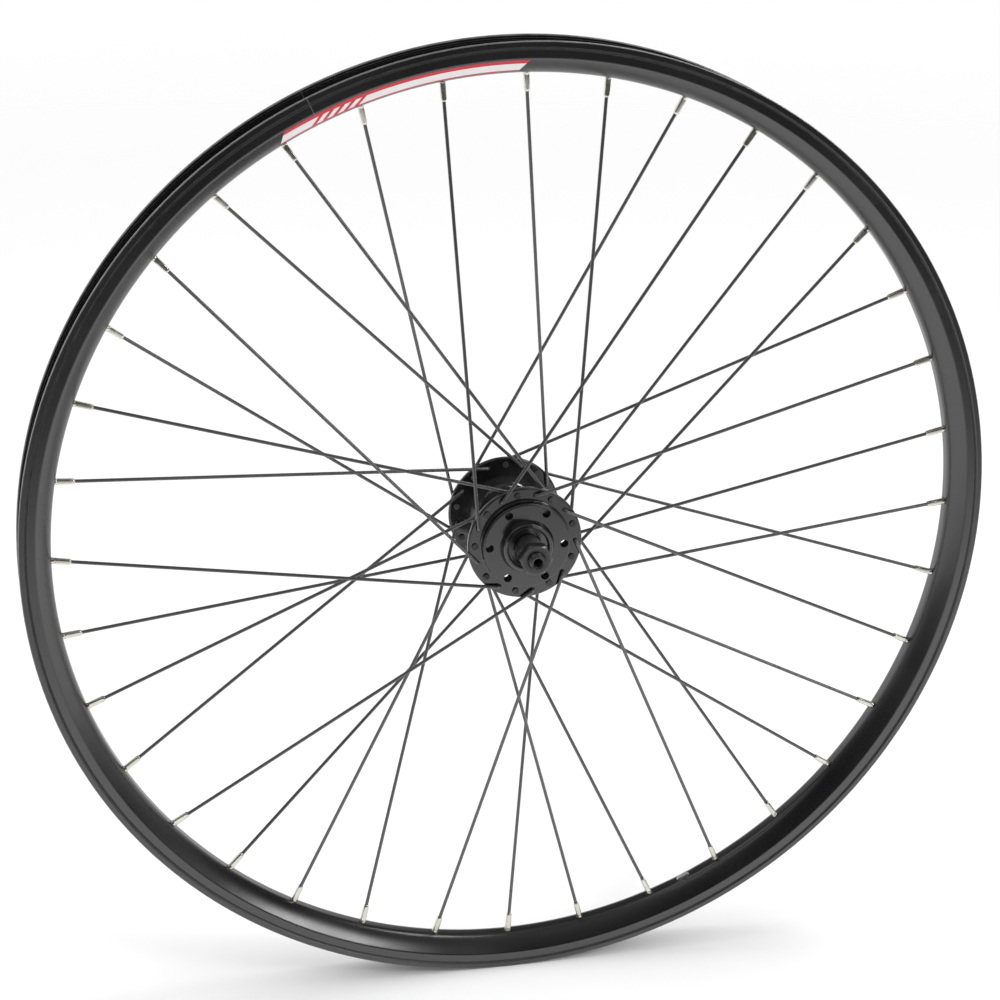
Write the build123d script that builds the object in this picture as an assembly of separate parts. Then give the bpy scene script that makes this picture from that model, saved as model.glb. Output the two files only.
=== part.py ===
from build123d import *
import os
from math import acos, cos, pi, radians, sin, sqrt

# A 26 inch front bicycle wheel with a disc hub, without tyre or skewer.
# Millimetres. The axle lies along Y, the disc side faces -Y (left) and Z is up.
# Angles about the axle start at the top of the wheel (+Z) and run towards +X.

# Rim, a double-wall extrusion rolled into a hoop
rim_radius = 286.0
rim_width = 25.4
rim_depth = 18.6
side_wall_height = 9.6
bead_seat_depth = 6.5
lip_width = 2.5
flange_wall = 1.9
well_depth = 2.6
well_floor_width = 9.6
bridge_wall = 1.3
bed_width = 7.2
bed_wall = 1.8
slant_wall = 2.1
valve_hole_diameter = 8.5
valve_angle = 155.0

# Spokes and nipples, three-cross lacing
spoke_count = 36
crossings = 3
spoke_diameter = 2.0
spoke_head_diameter = 3.8
spoke_head_height = 1.2
nipple_width = 3.3
nipple_head_width = 5.2
nipple_head_height = 2.2
nipple_shank = 12.0
nipple_thread = 9.0

# Hub shell
left_flange_offset = 21.0
right_flange_offset = 32.0
flange_diameter = 67.4
flange_thickness = 3.2
spoke_hole_inset = 4.1
barrel_diameter = 31.0
disc_boss_diameter = 51.6
disc_face_offset = 27.5
bolt_count = 6
bolt_circle_diameter = 44.0
bolt_hole_diameter = 5.0
bolt_phase = 30.0

# Axle, locknuts and cup-and-cone bearings
over_locknuts = 100.0
axle_diameter = 9.5
axle_bore = 5.2
axle_end_diameter = 9.0
axle_end_length = 4.0
locknut_width = 17.0
locknut_thickness = 6.0
locknut_chamfer = 1.2
locknut_phase = 35.0
cone_diameter = 15.7
cone_nose_wall = 0.6
cone_flats = 14.0
cone_flat_length = 4.0
ball_count = 10
ball_diameter = 4.76
ball_circle_diameter = 16.0
ball_inset = 2.6
cup_diameter = 26.0
cup_depth = 2.9
cup_lip = 0.6
cap_base_diameter = 32.0
cap_rim_diameter = 28.8
cap_mouth_diameter = 24.8
cap_height = 3.8
cap_floor = 1.2

# Clearances
thread_clearance = 0.03
press_clearance = 0.02
race_clearance = 0.05
seal_clearance = 0.4
spoke_hole_clearance = 0.12
nipple_hole_clearance = 0.45
access_hole_clearance = 0.6
seat_clearance = 0.05

# Numbers of flat sides that stand for a round on the wire, the barrel and the small turned pieces
wire_sides = 6
race_sides = 20
cap_sides = 20
barrel_sides = 24

# Sizes that follow from the ones above
half_width = rim_width / 2
bed_radius = rim_radius - rim_depth
seat_radius = bed_radius + bed_wall
pivot_radius = bed_radius + bed_wall / 2
crease_radius = rim_radius - side_wall_height
bead_seat_radius = rim_radius - bead_seat_depth
well_radius = bead_seat_radius - well_depth
bridge_radius = well_radius - bridge_wall
wire_radius = spoke_diameter / 2
hole_step = 360 / spoke_count
lead_angle = crossings * 2 * hole_step
flange_radius = flange_diameter / 2
spoke_circle_radius = flange_radius - spoke_hole_inset
half_flange = flange_thickness / 2
ball_radius = ball_diameter / 2
ball_circle_radius = ball_circle_diameter / 2
race_reach = (ball_radius + race_clearance) * sqrt(2)
cone_radius = cone_diameter / 2
thread_radius = axle_diameter / 2 + thread_clearance
locknut_face = over_locknuts / 2
locknut_back = locknut_face - locknut_thickness
axle_half_length = locknut_face + axle_end_length

LEFT = -1
RIGHT = 1
FLANGE_OFFSET = {LEFT: left_flange_offset, RIGHT: right_flange_offset}
SHELL_END = {LEFT: disc_face_offset, RIGHT: right_flange_offset + half_flange}
SIDE_NAME = {LEFT: "left", RIGHT: "right"}
AXLE = Axis.Y
ALONG = Vector(0, 1, 0)


def radial(angle):
    """Unit vector from the axle towards the rim at an angle."""
    return Vector(sin(radians(angle)), 0, cos(radians(angle)))


def place(radius, along, angle):
    """Point at a radius and angle about the axle, and a distance along it."""
    return radial(angle) * radius + ALONG * along


def turned(corners):
    """Round body about the axle, from the (radius, distance along the axle) corners of its section."""
    return revolve(make_face(Polyline(*corners, close=True)), AXLE)


def faceted(rings, sides):
    """Convex body about the axle with flat sides, through rings given as (radius, distance along the axle)."""
    step = 360 / sides
    return ConvexPolyhedron([place(radius, along, k * step) for radius, along in rings for k in range(sides)])


def around(radius, sides):
    """Corner radius of a ring whose flat sides lie outside a round of this radius."""
    return radius / cos(pi / sides)


def bar(start, direction, across, length, section):
    """Straight bar or hole with any section, whose X lies across the bar."""
    return extrude(Plane(start, x_dir=across, z_dir=direction) * section, amount=length)


def slant_half_width(radius):
    """Half the rim's outer width on its slanted lower walls."""
    share = (radius - bed_radius) / (crease_radius - bed_radius)
    return bed_width / 2 + share * (half_width - bed_width / 2)


def mirrored(corners):
    """Section made of one half and its mirror image across the wheel's middle plane."""
    return corners + [(radius, -along) for radius, along in reversed(corners)]


def make_chamber_cell(angle):
    """One spoke's share of the hollow between the rim's walls, with a flat floor for the nipple."""
    floor_radius = around(seat_radius, spoke_count)
    section = mirrored([
        (floor_radius, slant_half_width(seat_radius) - slant_wall),
        (bridge_radius, slant_half_width(bridge_radius) - slant_wall),
    ])
    ends = (angle - hole_step / 2, angle + hole_step / 2)
    return ConvexPolyhedron([place(radius, along, end) for radius, along in section for end in ends])


def make_rim():
    """Box-section rim with hooked flanges, a drop well and holes for spokes, tools and valve."""
    outside = mirrored([
        (bed_radius, bed_width / 2),
        (crease_radius, half_width),
        (rim_radius, half_width),
        (rim_radius, half_width - lip_width),
        (bead_seat_radius, half_width - flange_wall),
        (well_radius, well_floor_width / 2),
    ])
    nipple_hole = nipple_width + 2 * nipple_hole_clearance
    access_hole = nipple_head_width + 2 * access_hole_clearance
    cuts = []
    for index in range(spoke_count):
        out = radial(index * hole_step)
        cuts.append(make_chamber_cell(index * hole_step))
        bed_start = out * (bed_radius - bed_wall)
        bridge_start = out * (bridge_radius - bridge_wall)
        cuts.append(bar(bed_start, out, ALONG, 3 * bed_wall, Rectangle(nipple_hole, nipple_hole)))
        cuts.append(bar(bridge_start, out, ALONG, 3 * bridge_wall, Rectangle(access_hole, access_hole)))
    valve = radial(valve_angle)
    cuts.append(bar(valve * (bed_radius - bed_wall), valve, ALONG, rim_depth, Circle(valve_hole_diameter / 2)))
    return turned(outside) - cuts


class Spoke:
    """One spoke: its rim hole, its flange hole and the straight run between its elbow and its nipple."""

    def __init__(self, index):
        self.side = RIGHT if index % 2 == 0 else LEFT
        self.lead = 1 if index % 4 < 2 else -1
        self.elbow_side = -self.side * self.lead
        self.rim_angle = index * hole_step
        self.hub_angle = self.rim_angle + self.lead * lead_angle
        self.flange = self.side * FLANGE_OFFSET[self.side]
        self.pivot = place(pivot_radius, 0, self.rim_angle)
        elbow_place = self.flange + self.elbow_side * self.elbow_offset()
        self.elbow = place(spoke_circle_radius, elbow_place, self.hub_angle)
        self.direction = (self.elbow - self.pivot).normalized()
        self.across = ALONG.cross(self.direction).normalized()

    def elbow_offset(self):
        """Distance of the elbow from the flange's middle, enough for the spoke to clear the flange's edge."""
        rest = half_flange + wire_radius + spoke_hole_clearance
        if self.elbow_side != self.side:
            return rest
        reach = self.pivot - place(spoke_circle_radius, 0, self.hub_angle)
        inner = radial(self.hub_angle).dot(reach.normalized()) * spoke_circle_radius
        run = sqrt(flange_radius ** 2 - spoke_circle_radius ** 2 + inner ** 2) - inner
        slope = FLANGE_OFFSET[self.side] / (reach.length - run)
        return rest + slope * (run + half_flange + wire_radius)

    def hexagon(self, radius):
        """Six-sided section, by its corner radius."""
        return RegularPolygon(radius, wire_sides)

    def solid(self):
        """Bent wire with a mitred elbow and a conical head on the far side of the flange."""
        leg = ALONG * self.elbow_side
        head = place(spoke_circle_radius, self.flange, self.hub_angle) - leg * (half_flange + seat_clearance)
        tip = self.pivot + self.direction * (nipple_shank - nipple_thread + seat_clearance)
        small = Plane(head, x_dir=self.across, z_dir=leg) * self.hexagon(wire_radius)
        top = head - leg * spoke_head_height
        large = Plane(top, x_dir=self.across, z_dir=leg) * self.hexagon(spoke_head_diameter / 2)
        wire = sweep(small, path=Polyline(head, self.elbow, tip), transition=Transition.RIGHT)
        return wire + ConvexPolyhedron([Vector(corner) for corner in small.vertices() + large.vertices()])

    def square(self, width):
        """Square section, by its width across the flats."""
        return Rectangle(width, width)

    def flange_hole(self):
        """Hole for the spoke through its flange."""
        start = place(spoke_circle_radius, self.flange - flange_thickness, self.hub_angle)
        section = self.square(spoke_diameter + 2 * spoke_hole_clearance)
        return bar(start, ALONG, self.across, 2 * flange_thickness, section)

    def nipple(self):
        """Square nipple in line with the spoke, its head inside the rim and the spoke's end in its bore."""
        tilt = acos(-self.direction.dot(radial(self.rim_angle)))
        lift = bed_wall / 2 + nipple_head_width / sqrt(2) * sin(tilt) + seat_clearance
        base = self.pivot - self.direction * lift
        end = self.pivot + self.direction * nipple_shank
        shank = bar(base, self.direction, self.across, lift + nipple_shank, self.square(nipple_width))
        head = bar(base, -self.direction, self.across, nipple_head_height, self.square(nipple_head_width))
        thread = self.square(spoke_diameter + 2 * thread_clearance)
        return shank + head - bar(end, -self.direction, self.across, nipple_thread, thread)


def ball_plane(side):
    """Distance along the axle of a bearing's balls."""
    return side * (SHELL_END[side] - ball_inset)


def make_hub_shell():
    """One-piece shell: barrel, two spoke flanges, a rotor boss and a seat for each bearing cup."""
    cup_seat = cup_diameter / 2 + press_clearance
    through = ball_circle_radius + race_reach - cup_depth
    left_seat = ball_plane(LEFT) + cup_depth
    right_seat = ball_plane(RIGHT) - cup_depth
    left_inner = -left_flange_offset + half_flange
    left_outer = -left_flange_offset - half_flange
    right_inner = right_flange_offset - half_flange
    right_outer = right_flange_offset + half_flange
    left_end = turned([
        (0, -disc_face_offset),
        (disc_boss_diameter / 2, -disc_face_offset),
        (disc_boss_diameter / 2, left_outer),
        (flange_radius, left_outer),
        (flange_radius, left_inner),
        (0, left_inner),
    ])
    right_end = turned([
        (0, right_inner),
        (flange_radius, right_inner),
        (flange_radius, right_outer),
        (0, right_outer),
    ])
    barrel = faceted([(barrel_diameter / 2, left_inner), (barrel_diameter / 2, right_inner)], barrel_sides)
    cuts = [spoke.flange_hole() for spoke in spokes]
    cuts.append(faceted([(cup_seat, -disc_face_offset), (cup_seat, left_seat)], race_sides))
    cuts.append(faceted([(cup_seat, right_seat), (cup_seat, right_outer)], race_sides))
    cuts.append(faceted([(through, left_seat), (through, right_seat)], race_sides))
    bolt = Circle(bolt_hole_diameter / 2)
    depth = disc_face_offset + left_inner
    for index in range(bolt_count):
        angle = bolt_phase + index * 360 / bolt_count
        mouth = place(bolt_circle_diameter / 2, -disc_face_offset, angle)
        cuts.append(bar(mouth, ALONG, radial(angle), depth, bolt))
    return left_end + barrel + right_end - cuts


def make_axle():
    """Hollow axle for a quick-release skewer, turned down at its ends to fit the fork."""
    ends = turned(mirrored([(0, axle_half_length), (axle_end_diameter / 2, axle_half_length)]))
    bore = turned(mirrored([(0, axle_half_length), (axle_bore / 2, axle_half_length)]))
    threaded = faceted([(axle_diameter / 2, -locknut_face), (axle_diameter / 2, locknut_face)], race_sides)
    return ends + threaded - bore


def thread_hole(inner, outer):
    """Hole for the axle's thread between two distances along the axle."""
    corner = around(thread_radius, race_sides)
    return faceted([(corner, inner), (corner, outer)], race_sides)


def make_locknut(side):
    """Hexagon locknut with a chamfered outer face, which bears on the fork."""
    back = side * locknut_back
    face = side * locknut_face
    corner = around(locknut_width / 2, 6)
    blank = faceted([(corner, back), (corner, face)], 6)
    chamfer_start = face - side * locknut_chamfer
    shoulder = around(corner, 6)
    land = around(locknut_width / 2, 6)
    trim = faceted([(shoulder, back), (shoulder, chamfer_start), (land, face)], 6)
    nut = blank & trim.rotate(AXLE, 180 / 6)
    return nut.rotate(AXLE, locknut_phase) - thread_hole(back, face)


def make_cone(side):
    """Bearing cone: a tapered race, a round body and two spanner flats beside the locknut."""
    plane = ball_plane(side)
    nose = thread_radius + cone_nose_wall
    back = side * locknut_back
    nose_end = plane + side * (nose - ball_circle_radius + race_reach)
    body_end = plane + side * (cone_radius - ball_circle_radius + race_reach)
    cone = faceted([(nose, nose_end), (cone_radius, body_end), (cone_radius, back)], race_sides)
    middle = Pos(0, side * (locknut_back - cone_flat_length / 2), 0)
    flats = middle * Box(2 * cone_diameter, cone_flat_length, 2 * cone_diameter)
    flats -= middle * Box(cone_flats, cone_flat_length, 2 * cone_diameter)
    return cone - thread_hole(nose_end, back) - flats


def make_cup(side):
    """Bearing cup with a tapered race, pressed into the shell."""
    plane = ball_plane(side)
    inner = plane - side * cup_depth
    outer = plane + side * cup_lip
    blank = faceted([(cup_diameter / 2, inner), (cup_diameter / 2, outer)], race_sides)
    race = faceted([
        (around(ball_circle_radius + race_reach - cup_depth, race_sides), inner),
        (around(ball_circle_radius + race_reach + cup_lip, race_sides), outer),
    ], race_sides)
    return blank - race


def make_dust_cap(side):
    """Dished dust cap on the shell's end, with a bore that clears the cone."""
    end = side * SHELL_END[side]
    floor = end + side * cap_floor
    lip = end + side * cap_height
    bore = around(cone_radius + seal_clearance, cap_sides)
    body = faceted([(cap_base_diameter / 2, end), (cap_rim_diameter / 2, lip)], cap_sides)
    dish = faceted([(bore, floor), (cap_mouth_diameter / 2, lip)], cap_sides)
    return body - dish - faceted([(bore, end), (bore, floor)], cap_sides)


def make_balls(side):
    """Ring of bearing balls, each drawn with 14 flat faces and touching its races with two corners."""
    reach = ball_radius / sqrt(2)
    ends = (-reach, reach)
    corners = [corner for a in ends for b in ends for corner in ((a, b, 0), (a, 0, b), (0, a, b))]
    ball = Pos(place(ball_circle_radius, ball_plane(side), 0)) * ConvexPolyhedron(corners)
    return [ball.rotate(AXLE, index * 360 / ball_count) for index in range(ball_count)]


def write(name, solids):
    """Write a node's solids to its STEP file."""
    shape = Compound(children=list(solids)) if len(solids) > 1 else solids[0]
    shape.label = name
    export_step(shape, f"parts/{name}.step")


os.makedirs("parts", exist_ok=True)
spokes = [Spoke(index) for index in range(spoke_count)]
write("rim", [make_rim()])
write("hub_shell", [make_hub_shell()])
write("nipples", [spoke.nipple() for spoke in spokes])
for side in (LEFT, RIGHT):
    own = [spoke for spoke in spokes if spoke.side == side]
    for number, spoke in enumerate(own, start=1):
        write(f"spoke_{SIDE_NAME[side]}_{number:02d}", [spoke.solid()])
write("axle", [make_axle()])
for side in (LEFT, RIGHT):
    name = SIDE_NAME[side]
    write(f"locknut_{name}", [make_locknut(side)])
    write(f"cone_{name}", [make_cone(side)])
    write(f"bearing_cup_{name}", [make_cup(side)])
    write(f"dust_cap_{name}", [make_dust_cap(side)])
    write(f"bearing_balls_{name}", make_balls(side))
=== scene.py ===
"""Looks of a front bicycle wheel with a disc hub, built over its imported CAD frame."""
import logging
from dataclasses import dataclass, field
from enum import Enum
from functools import cache
from typing import Sequence

import bmesh
import bpy
import numpy as np
from mathutils import Matrix, Vector


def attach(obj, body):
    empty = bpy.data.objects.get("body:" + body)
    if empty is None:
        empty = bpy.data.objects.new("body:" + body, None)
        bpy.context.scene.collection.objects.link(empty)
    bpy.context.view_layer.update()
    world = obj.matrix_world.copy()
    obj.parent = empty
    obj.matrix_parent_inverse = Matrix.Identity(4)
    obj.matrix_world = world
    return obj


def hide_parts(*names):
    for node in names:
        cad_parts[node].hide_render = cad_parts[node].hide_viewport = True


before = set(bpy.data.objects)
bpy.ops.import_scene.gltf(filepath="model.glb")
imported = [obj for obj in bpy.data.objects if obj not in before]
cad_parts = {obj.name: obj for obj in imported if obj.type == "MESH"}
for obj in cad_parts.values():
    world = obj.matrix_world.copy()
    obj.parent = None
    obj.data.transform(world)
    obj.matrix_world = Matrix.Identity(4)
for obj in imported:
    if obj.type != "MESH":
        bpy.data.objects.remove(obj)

Array = np.ndarray
Triple = tuple[float, float, float]
Socket = bpy.types.NodeSocket
Sockets = bpy.types.bpy_prop_collection
Tree = bpy.types.NodeTree
Setting = Socket | float | tuple[float, ...]
Inputs = dict[str | int, Setting]
LOG = logging.getLogger("wheel")
MM = 0.001
WELD = 2e-6
TINY = 1e-6
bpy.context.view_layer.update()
ALONG = np.array([0.0, 1.0, 0.0])


class Side(Enum):
    """Side of the hub, by the direction of the axle that it faces."""

    LEFT = -1
    RIGHT = 1

    @property
    def word(self) -> str:
        """Name of the side as the nodes spell it."""
        return self.name.lower()


class Body(Enum):
    """Bodies of the frame that pieces ride on."""

    AXLE_SET = "axle_set"
    WHEEL = "wheel"
    BALL_RINGS = "ball_rings"


def around(count: int) -> Array:
    """Angles of one full turn in equal steps, from 0."""
    return np.arange(count) * 2 * np.pi / count


def radial(angle: Array) -> Array:
    """Unit vectors from the axle at angles in radians, 0 at the top and rising towards +X."""
    return np.stack([np.sin(angle), np.zeros_like(angle), np.cos(angle)], -1)


def place(radius: Array, along: Array, angle: Array) -> Array:
    """Points at a radius and angle about the axle and a distance along it, all broadcast together."""
    radius, along, angle = np.broadcast_arrays(radius, along, angle)
    return radial(angle) * radius[..., None] + ALONG * along[..., None]


def unit(vectors: Array) -> Array:
    """Vectors scaled to length 1, with null vectors left null."""
    return vectors / np.maximum(np.linalg.norm(vectors, axis=-1, keepdims=True), 1e-12)


def swing(first: Array, last: Array, sweep: Array, steps: int) -> Array:
    """Vectors that turn evenly from first to last: both weighted by the sines of their shares of the sweep.

    Args:
        first: Start of each turn, one row for each.
        last: End of each turn.
        sweep: Angle of each turn, in one column.
        steps: Segments of each turn.

    Returns:
        Vectors by turn, station and coordinate.
    """
    share, sweep = np.linspace(0, 1, steps + 1)[None, :, None], sweep[:, None]
    return (np.sin((1 - share) * sweep) * first[:, None] + np.sin(share * sweep) * last[:, None]) / np.sin(sweep)


@dataclass(frozen=True)
class Section:
    """Section line of a turned piece: rows of (radius, along), and how each row bends."""

    rows: Array
    edge: Array

    def spin(self, angles: Array) -> Array:
        """Sheet of points swept by the section about the axle, one column for each angle."""
        return place(self.rows[:, :1], self.rows[:, 1:], angles[None, :])

    def row_at(self, column: int, value: float) -> int:
        """Index of the row whose radius (column 0) or place along the axle (column 1) is nearest a value."""
        return int(np.abs(self.rows[:, column] - value).argmin())

    def mirrored(self) -> "Section":
        """Full section from this half and its mirror image along the axle, the left side first."""
        flipped = (self.rows * [1, -1])[:0:-1]
        return Section(np.concatenate([flipped, self.rows]), np.concatenate([self.edge[:0:-1], self.edge]))


def rounded(corners: Sequence[Triple], steps: int = 4, hand: int = 1) -> Section:
    """Section line through corners, each eased by an arc that is tangent to both of its runs.

    The arc's centre lies on the corner's bisector, fillet / sin(half angle) away. Its points turn evenly from
    one tangent point to the other. A guard row stands a quarter fillet outside each, so that flats stay flat.

    Args:
        corners: (radius, along, fillet) of each corner; a fillet of 0 on a straight run only adds a row.
        steps: Segments of each arc.
        hand: 1 where the material lies on the right of the line's way, -1 where it lies on the left.

    Returns:
        The section, whose edge values are 1 on outer corners and -1 in inner ones.
    """
    table = np.asarray(corners, float)
    spots, middle, fillet = table[:, :2], table[1:-1, :2], table[1:-1, 2:]
    back, ahead = unit(spots[:-2] - middle), unit(spots[2:] - middle)
    half = np.arccos(np.clip((back * ahead).sum(-1, keepdims=True), -1, 1)) / 2
    reach = fillet / np.tan(half)
    centre = middle + unit(back + ahead) * fillet / np.sin(half)
    sweep = np.maximum(np.pi - 2 * half, TINY)
    arc = centre[:, None] + swing(middle + back * reach - centre, middle + ahead * reach - centre, sweep, steps)
    guard = reach + fillet / 4
    ease = np.concatenate([(middle + back * guard)[:, None], arc, (middle + ahead * guard)[:, None]], 1)
    bend = hand * np.sign(back[:, 0] * ahead[:, 1] - back[:, 1] * ahead[:, 0]) * (fillet[:, 0] > 0)
    mark = np.repeat(bend[:, None], steps + 3, 1)
    mark[:, [0, -1]] = 0
    rows = np.concatenate([spots[:1], ease.reshape(-1, 2), spots[-1:]])
    edge = np.concatenate([[0], mark.ravel(), [0]])
    fresh = np.append(True, np.linalg.norm(np.diff(rows, axis=0), axis=1) > TINY)
    return Section(rows[fresh], edge[fresh])


@dataclass
class Skin:
    """Mesh of a piece, gathered sheet by sheet in millimetres and welded where the sheets meet."""

    points: list[Array] = field(default_factory=list)
    edges: list[Array] = field(default_factory=list)
    quads: list[Array] = field(default_factory=list)
    count: int = 0

    def add(self, sheet: Array, wrap: tuple[bool, bool] = (False, True), edge: Array | float = 0.0,
            keep: Array | None = None) -> None:
        """Add a grid of points, with its edge values broadcast over the grid.

        Args:
            sheet: Points in rows and columns.
            wrap: Whether the rows and the columns close on themselves.
            edge: 1 on outer corners, -1 in inner ones, for each point or each row.
            keep: Mask of the faces that are kept.
        """
        rows, columns = sheet.shape[:2]
        down, across = np.ix_(np.arange(rows - (not wrap[0])), np.arange(columns - (not wrap[1])))
        below, beside = (down + 1) % rows * columns, (across + 1) % columns
        down = down * columns
        quads = np.stack([down + across, below + across, below + beside, down + beside], -1)
        self.points.append(sheet.reshape(-1, 3))
        self.edges.append(np.broadcast_to(edge, (rows, columns)).ravel())
        self.quads.append((quads[keep] if keep is not None else quads.reshape(-1, 4)) + self.count)
        self.count += rows * columns

    def piece(self, name: str, crease: float = 40.0) -> bpy.types.Object:
        """Weld the sheets, turn the faces outwards and make the object.

        Args:
            name: Name of the piece.
            crease: Angle in degrees between faces past which an edge shades sharp.

        Returns:
            The object, at the origin, with an edge attribute for worn edges, grime, painted highlight and painted
            shade.
        """
        mesh = bpy.data.meshes.new(name)
        used, faces = np.unique(np.concatenate(self.quads), return_inverse=True)
        mesh.from_pydata(np.concatenate(self.points)[used] * MM, [], faces.reshape(-1, 4))
        mesh.attributes.new("edge", "FLOAT", "POINT").data.foreach_set("value", np.concatenate(self.edges)[used])
        work = bmesh.new()
        work.from_mesh(mesh)
        bmesh.ops.remove_doubles(work, verts=work.verts, dist=WELD)
        bmesh.ops.recalc_face_normals(work, faces=work.faces)
        work.to_mesh(mesh)
        work.free()
        mesh.polygons.foreach_set("use_smooth", np.ones(len(mesh.polygons), bool))
        mesh.set_sharp_from_angle(angle=np.radians(crease))
        thing = bpy.data.objects.new(name, mesh)
        bpy.context.scene.collection.objects.link(thing)
        return thing


@dataclass(frozen=True)
class Window:
    """Rectangle of a sheet that a round hole replaces: vertex rows and columns, and the hole in the sheet's chart."""

    rows: tuple[int, int]
    columns: tuple[int, int]
    centre: Array
    radius: float

    def border(self, column_count: int) -> tuple[Array, Array]:
        """Row and column indices once round the window."""
        (top, bottom), (left, right) = self.rows, self.columns
        high, wide = bottom - top, right - left
        rows = np.concatenate([np.full(wide, top), np.arange(top, bottom), np.full(wide, bottom),
                               np.arange(bottom, top, -1)])
        columns = np.concatenate([np.arange(left, right), np.full(high, right), np.arange(right, left, -1),
                                  np.full(high, left)])
        return rows, columns % column_count

    def clear(self, keep: Array) -> None:
        """Drop the sheet's own faces inside the window from a mask."""
        keep[np.ix_(np.arange(*self.rows), np.arange(*self.columns) % keep.shape[1])] = False

    def patch(self, border: Array, rings: int = 3, crowd: float = 1.4) -> Array:
        """Chart points between the hole and the window: straight lines from the circle out to each border point.

        Args:
            border: Chart points once round the window.
            rings: Segments of each line.
            crowd: Power that crowds the rings towards the hole.

        Returns:
            Grid of chart points, the hole's own circle first.
        """
        hole = self.centre + self.radius * unit(border - self.centre)
        return hole + np.linspace(0, 1, rings + 1)[:, None, None] ** crowd * (border - hole)


def hole_edge(worn: float) -> Array:
    """Edge values of a hole's patch, worn on the hole's own circle alone."""
    return np.array([[worn], [0.0], [0.0], [0.0]])


@dataclass(frozen=True)
class Graph:
    """Node tree of a finish, a group or the world, wired up as its nodes are made."""

    tree: Tree

    @classmethod
    def material(cls, name: str) -> tuple[bpy.types.Material, "Graph"]:
        """Make a material with its plain shader, and the graph of its nodes."""
        material = bpy.data.materials.new(name)
        material.use_nodes = True
        return material, cls(material.node_tree)

    def fill(self, node: bpy.types.Node | str, inputs: Inputs) -> bpy.types.Node:
        """Link a node's inputs to other sockets or give them fixed values.

        Args:
            node: The node or its name.
            inputs: Socket or value of each input, by the input's name or number.

        Returns:
            The node.
        """
        node = self.tree.nodes[node] if isinstance(node, str) else node
        for label, value in inputs.items():
            if isinstance(value, Socket):
                self.tree.links.new(value, node.inputs[label])
            else:
                node.inputs[label].default_value = value
        return node

    def node(self, kind: str, inputs: Inputs | None = None, **settings: object) -> bpy.types.Node:
        """Make a node.

        Args:
            kind: Type of the node, less the word that shader nodes begin with.
            inputs: Sockets and values of its inputs.
            **settings: Its other properties.

        Returns:
            The node.
        """
        node = self.tree.nodes.new(f"ShaderNode{kind}")
        for label, value in settings.items():
            setattr(node, label, value)
        return self.fill(node, inputs or {})

    def group(self, tree: Tree, **inputs: float) -> Sockets:
        """Outputs of a node group that is placed with its own values."""
        return self.node("Group", inputs, node_tree=tree).outputs

    def math(self, operation: str, *values: Setting, clamp: bool = False) -> Socket:
        """Result of an operation on sockets and numbers."""
        return self.node("Math", dict(enumerate(values)), operation=operation, use_clamp=clamp).outputs[0]

    def mix(self, factor: Socket, first: Setting, second: Setting, kind: str = "FLOAT") -> Socket:
        """Blend from a first value or colour to a second one by a mask."""
        inputs = {"Factor": factor, "A": first, "B": second}
        return self.node("Mix", inputs, data_type=kind).outputs["Result"]

    def tint(self, factor: Socket, first: Socket | Triple, second: Triple) -> Socket:
        """Blend from a first colour to a second one by a mask."""
        return self.mix(factor, first if isinstance(first, Socket) else (*first, 1), (*second, 1), "RGBA")

    def ramp(self, value: Socket, start: tuple[float, float], stop: tuple[float, float] = (0.0, 1.0),
             curve: str = "SMOOTHSTEP") -> Socket:
        """Value mapped from a start range to a stop range."""
        ends = {"From Min": start[0], "From Max": start[1], "To Min": stop[0], "To Max": stop[1]}
        return self.node("MapRange", {"Value": value, **ends}, interpolation_type=curve).outputs["Result"]

    def spot(self, kind: str = "Object") -> Socket:
        """Texture coordinate of a kind."""
        return self.node("TexCoord").outputs[kind]

    def axes(self, kind: str = "Object") -> Sockets:
        """X, Y and Z of a texture coordinate."""
        return self.node("SeparateXYZ", {"Vector": self.spot(kind)}).outputs

    def noise(self, scale: Socket, detail: float) -> Socket:
        """Noise on the piece's own coordinates."""
        return self.node("TexNoise", {"Vector": self.spot(), "Scale": scale, "Detail": detail}).outputs["Fac"]

    def attribute(self, label: str) -> Socket:
        """One of the mesh's attributes."""
        return self.node("Attribute", attribute_name=label).outputs["Fac"]


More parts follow.
